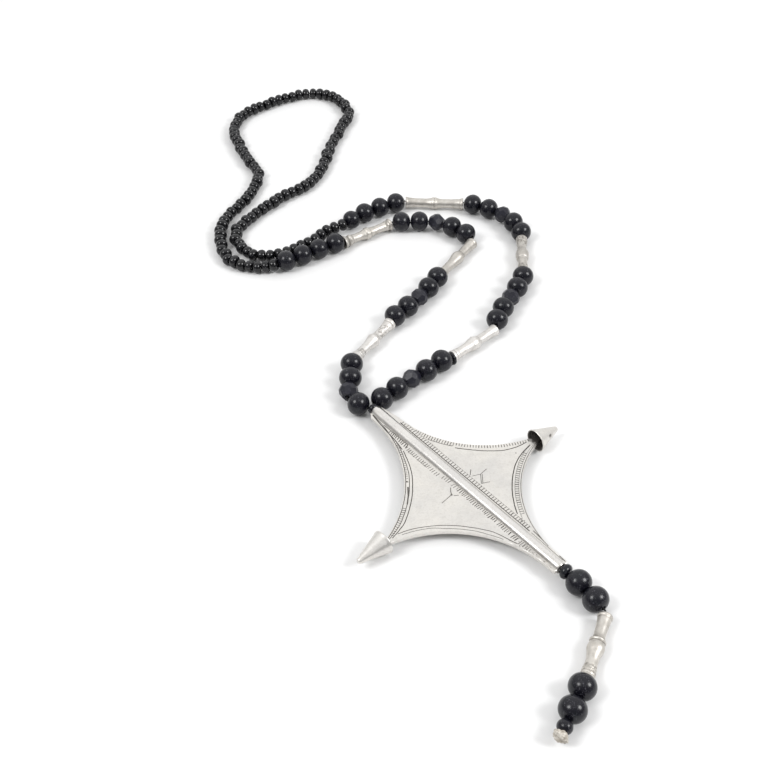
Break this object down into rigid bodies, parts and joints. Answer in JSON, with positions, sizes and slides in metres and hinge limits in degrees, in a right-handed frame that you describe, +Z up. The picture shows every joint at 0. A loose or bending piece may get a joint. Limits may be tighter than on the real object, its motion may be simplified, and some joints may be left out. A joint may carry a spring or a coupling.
{
  "type": "wedding necklace",
  "caption": "Folk necklace of black beads and bamboo-form silver tubes on two strands that meet at a four-pointed silver pendant with a short tail, closed by a loop of seed beads.",
  "frame": {"origin": "middle of the outer box on the surface that the necklace lies on", "axes": "+Z up from the surface, +X to the right and +Y away from the viewer of the picture"},
  "size_m": [0.129, 0.351, 0.008],
  "materials": {
    "black_bead": "polished",
    "black_facets": "satin",
    "black_spacer": "polished",
    "black_seeds": "polished",
    "silver_tube": "satin, worn",
    "silver_pendant": "satin, engraved, worn",
    "black_thread": "matte",
    "knot_fibre": "matte"
  },
  "bodies": {
    "root": {"round_bead_01": "black_bead", "round_bead_02": "black_bead", "round_bead_03": "black_bead", "round_bead_04": "black_bead", "round_bead_05": "black_bead", "round_bead_06": "black_bead", "round_bead_07": "black_bead", "round_bead_08": "black_bead", "round_bead_09": "black_bead", "round_bead_10": "black_bead", "round_bead_11": "black_bead", "round_bead_12": "black_bead", "round_bead_13": "black_bead", "round_bead_14": "black_bead", "round_bead_15": "black_bead", "round_bead_16": "black_bead", "round_bead_17": "black_bead", "round_bead_18": "black_bead", "round_bead_19": "black_bead", "round_bead_20": "black_bead", "round_bead_21": "black_bead", "round_bead_22": "black_bead", "round_bead_23": "black_bead", "round_bead_24": "black_bead", "round_bead_25": "black_bead", "round_bead_26": "black_bead", "round_bead_27": "black_bead", "round_bead_28": "black_bead", "round_bead_29": "black_bead", "round_bead_30": "black_bead", "round_bead_31": "black_bead", "round_bead_32": "black_bead", "round_bead_33": "black_bead", "round_bead_34": "black_bead", "round_bead_35": "black_bead", "silver_tube_01": "silver_tube", "silver_tube_02": "silver_tube", "silver_tube_03": "silver_tube", "silver_tube_04": "silver_tube", "silver_tube_05": "silver_tube", "silver_tube_06": "silver_tube", "silver_tube_07": "silver_tube", "faceted_beads": "black_facets", "spacer_beads": "black_spacer", "pendant": "silver_pendant", "thread": "black_thread", "seed_strand": "black_seeds", "knot": "knot_fibre"}
  },
  "joints": []
}
